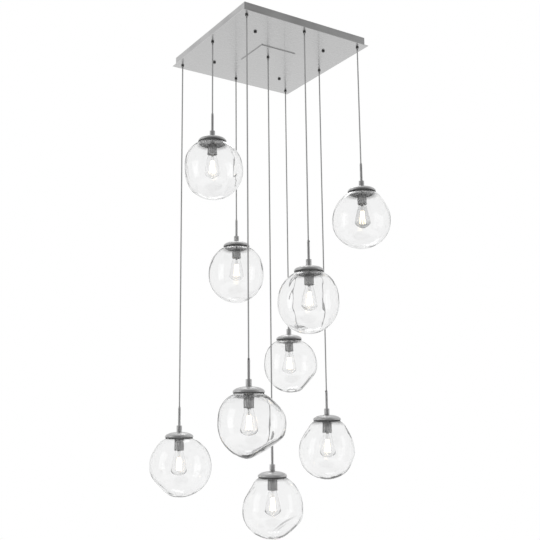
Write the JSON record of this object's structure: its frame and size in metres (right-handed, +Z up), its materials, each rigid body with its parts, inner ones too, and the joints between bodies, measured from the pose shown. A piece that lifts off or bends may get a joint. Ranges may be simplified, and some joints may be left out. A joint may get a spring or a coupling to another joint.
{
  "type": "cluster pendant light",
  "caption": "Cluster pendant: square ceiling canopy with blown clear-glass globes hung at staggered heights on straight cords.",
  "frame": {"origin": "centre of the bracket's top face, which lies on the ceiling", "axes": "+Z up; +X and +Y along the canopy's sides; the corner at -X -Y is the front corner of the picture"},
  "size_m": [0.724, 0.7281, 1.87],
  "materials": {
    "satin_nickel": "satin plated sheet and turned metal",
    "zinc_steel": "zinc plated",
    "dark_nickel": "dark knurled",
    "magnet_plating": "bright plated",
    "grip_black": "matt moulded",
    "terminal_plastic": "moulded",
    "brass_screws": "plated",
    "lead_sleeve": "smooth sleeve",
    "cord_sleeve": "grey sleeve",
    "blown_glass": "clear, hand blown",
    "lamp_glass": "clear, with metal base and filaments"
  },
  "bodies": {
    "canopy": {"ceiling_bracket": "zinc_steel", "bracket_studs": "zinc_steel", "cap_nuts": "dark_nickel", "canopy_box": "satin_nickel", "faceplate": "satin_nickel", "access_cover": "satin_nickel", "cover_magnets": "magnet_plating", "cord_grips": "grip_black", "grip_nuts": "zinc_steel", "terminal_block": "terminal_plastic", "terminal_screws": "brass_screws", "inner_leads": "lead_sleeve", "earth_screw": "brass_screws"},
    "bush_1": {"cord_bush_1": "grip_black"},
    "hanging_cord_1": {"cord_1": "cord_sleeve"},
    "pendant_1": {"fitter_1": "satin_nickel", "globe_1": "blown_glass", "lamp_1": "lamp_glass"},
    "bush_2": {"cord_bush_2": "grip_black"},
    "hanging_cord_2": {"cord_2": "cord_sleeve"},
    "pendant_2": {"fitter_2": "satin_nickel", "globe_2": "blown_glass", "lamp_2": "lamp_glass"},
    "bush_3": {"cord_bush_3": "grip_black"},
    "hanging_cord_3": {"cord_3": "cord_sleeve"},
    "pendant_3": {"fitter_3": "satin_nickel", "globe_3": "blown_glass", "lamp_3": "lamp_glass"},
    "bush_4": {"cord_bush_4": "grip_black"},
    "hanging_cord_4": {"cord_4": "cord_sleeve"},
    "pendant_4": {"fitter_4": "satin_nickel", "globe_4": "blown_glass", "lamp_4": "lamp_glass"},
    "bush_5": {"cord_bush_5": "grip_black"},
    "hanging_cord_5": {"cord_5": "cord_sleeve"},
    "pendant_5": {"fitter_5": "satin_nickel", "globe_5": "blown_glass", "lamp_5": "lamp_glass"},
    "bush_6": {"cord_bush_6": "grip_black"},
    "hanging_cord_6": {"cord_6": "cord_sleeve"},
    "pendant_6": {"fitter_6": "satin_nickel", "globe_6": "blown_glass", "lamp_6": "lamp_glass"},
    "bush_7": {"cord_bush_7": "grip_black"},
    "hanging_cord_7": {"cord_7": "cord_sleeve"},
    "pendant_7": {"fitter_7": "satin_nickel", "globe_7": "blown_glass", "lamp_7": "lamp_glass"},
    "bush_8": {"cord_bush_8": "grip_black"},
    "hanging_cord_8": {"cord_8": "cord_sleeve"},
    "pendant_8": {"fitter_8": "satin_nickel", "globe_8": "blown_glass", "lamp_8": "lamp_glass"},
    "bush_9": {"cord_bush_9": "grip_black"},
    "hanging_cord_9": {"cord_9": "cord_sleeve"},
    "pendant_9": {"fitter_9": "satin_nickel", "globe_9": "blown_glass", "lamp_9": "lamp_glass"}
  },
  "joints": [
    {"name": "swing_x_1", "type": "hinge", "parent": "canopy", "child": "bush_1", "pos_m": [-0.25, 0, -0.039], "axis": [1, 0, 0], "range_deg": [-11.4, 11.4]},
    {"name": "swing_y_1", "type": "hinge", "parent": "bush_1", "child": "hanging_cord_1", "pos_m": [-0.25, 0, -0.0509], "axis": [0, 1, 0], "range_deg": [-11.4, 11.4]},
    {"name": "turn_1", "type": "hinge", "parent": "hanging_cord_1", "child": "pendant_1", "pos_m": [-0.25, 0, -0.323], "axis": [0, 0, 1], "range_deg": [-180, 180]},
    {"name": "swing_x_2", "type": "hinge", "parent": "canopy", "child": "bush_2", "pos_m": [0.25, -0.25, -0.039], "axis": [1, 0, 0], "range_deg": [-8.3, 8.3]},
    {"name": "swing_y_2", "type": "hinge", "parent": "bush_2", "child": "hanging_cord_2", "pos_m": [0.25, -0.25, -0.0509], "axis": [0, 1, 0], "range_deg": [-8.3, 8.3]},
    {"name": "turn_2", "type": "hinge", "parent": "hanging_cord_2", "child": "pendant_2", "pos_m": [0.25, -0.25, -0.504], "axis": [0, 0, 1], "range_deg": [-180, 180]},
    {"name": "swing_x_3", "type": "hinge", "parent": "canopy", "child": "bush_3", "pos_m": [0, 0.25, -0.039], "axis": [1, 0, 0], "range_deg": [-6.9, 6.9]},
    {"name": "swing_y_3", "type": "hinge", "parent": "bush_3", "child": "hanging_cord_3", "pos_m": [0, 0.25, -0.0509], "axis": [0, 1, 0], "range_deg": [-6.9, 6.9]},
    {"name": "turn_3", "type": "hinge", "parent": "hanging_cord_3", "child": "pendant_3", "pos_m": [0, 0.25, -0.646], "axis": [0, 0, 1], "range_deg": [-180, 180]},
    {"name": "swing_x_4", "type": "hinge", "parent": "canopy", "child": "bush_4", "pos_m": [0, -0.25, -0.039], "axis": [1, 0, 0], "range_deg": [-5.6, 5.6]},
    {"name": "swing_y_4", "type": "hinge", "parent": "bush_4", "child": "hanging_cord_4", "pos_m": [0, -0.25, -0.0509], "axis": [0, 1, 0], "range_deg": [-5.6, 5.6]},
    {"name": "turn_4", "type": "hinge", "parent": "hanging_cord_4", "child": "pendant_4", "pos_m": [0, -0.25, -0.829], "axis": [0, 0, 1], "range_deg": [-180, 180]},
    {"name": "swing_x_5", "type": "hinge", "parent": "canopy", "child": "bush_5", "pos_m": [0.25, 0.25, -0.039], "axis": [1, 0, 0], "range_deg": [-4.8, 4.8]},
    {"name": "swing_y_5", "type": "hinge", "parent": "bush_5", "child": "hanging_cord_5", "pos_m": [0.25, 0.25, -0.0509], "axis": [0, 1, 0], "range_deg": [-4.8, 4.8]},
    {"name": "turn_5", "type": "hinge", "parent": "hanging_cord_5", "child": "pendant_5", "pos_m": [0.25, 0.25, -1.011], "axis": [0, 0, 1], "range_deg": [-180, 180]},
    {"name": "swing_x_6", "type": "hinge", "parent": "canopy", "child": "bush_6", "pos_m": [-0.25, -0.25, -0.039], "axis": [1, 0, 0], "range_deg": [-4, 4]},
    {"name": "swing_y_6", "type": "hinge", "parent": "bush_6", "child": "hanging_cord_6", "pos_m": [-0.25, -0.25, -0.0509], "axis": [0, 1, 0], "range_deg": [-4, 4]},
    {"name": "turn_6", "type": "hinge", "parent": "hanging_cord_6", "child": "pendant_6", "pos_m": [-0.25, -0.25, -1.254], "axis": [0, 0, 1], "range_deg": [-180, 180]},
    {"name": "swing_x_7", "type": "hinge", "parent": "canopy", "child": "bush_7", "pos_m": [0.25, 0, -0.039], "axis": [1, 0, 0], "range_deg": [-3.7, 3.7]},
    {"name": "swing_y_7", "type": "hinge", "parent": "bush_7", "child": "hanging_cord_7", "pos_m": [0.25, 0, -0.0509], "axis": [0, 1, 0], "range_deg": [-3.7, 3.7]},
    {"name": "turn_7", "type": "hinge", "parent": "hanging_cord_7", "child": "pendant_7", "pos_m": [0.25, 0, -1.341], "axis": [0, 0, 1], "range_deg": [-180, 180]},
    {"name": "swing_x_8", "type": "hinge", "parent": "canopy", "child": "bush_8", "pos_m": [-0.25, 0.25, -0.039], "axis": [1, 0, 0], "range_deg": [-3.6, 3.6]},
    {"name": "swing_y_8", "type": "hinge", "parent": "bush_8", "child": "hanging_cord_8", "pos_m": [-0.25, 0.25, -0.0509], "axis": [0, 1, 0], "range_deg": [-3.6, 3.6]},
    {"name": "turn_8", "type": "hinge", "parent": "hanging_cord_8", "child": "pendant_8", "pos_m": [-0.25, 0.25, -1.399], "axis": [0, 0, 1], "range_deg": [-180, 180]},
    {"name": "swing_x_9", "type": "hinge", "parent": "canopy", "child": "bush_9", "pos_m": [0, 0, -0.042], "axis": [1, 0, 0], "range_deg": [-3.3, 3.3]},
    {"name": "swing_y_9", "type": "hinge", "parent": "bush_9", "child": "hanging_cord_9", "pos_m": [0, 0, -0.0539], "axis": [0, 1, 0], "range_deg": [-3.3, 3.3]},
    {"name": "turn_9", "type": "hinge", "parent": "hanging_cord_9", "child": "pendant_9", "pos_m": [0, 0, -1.541], "axis": [0, 0, 1], "range_deg": [-180, 180]}
  ]
}
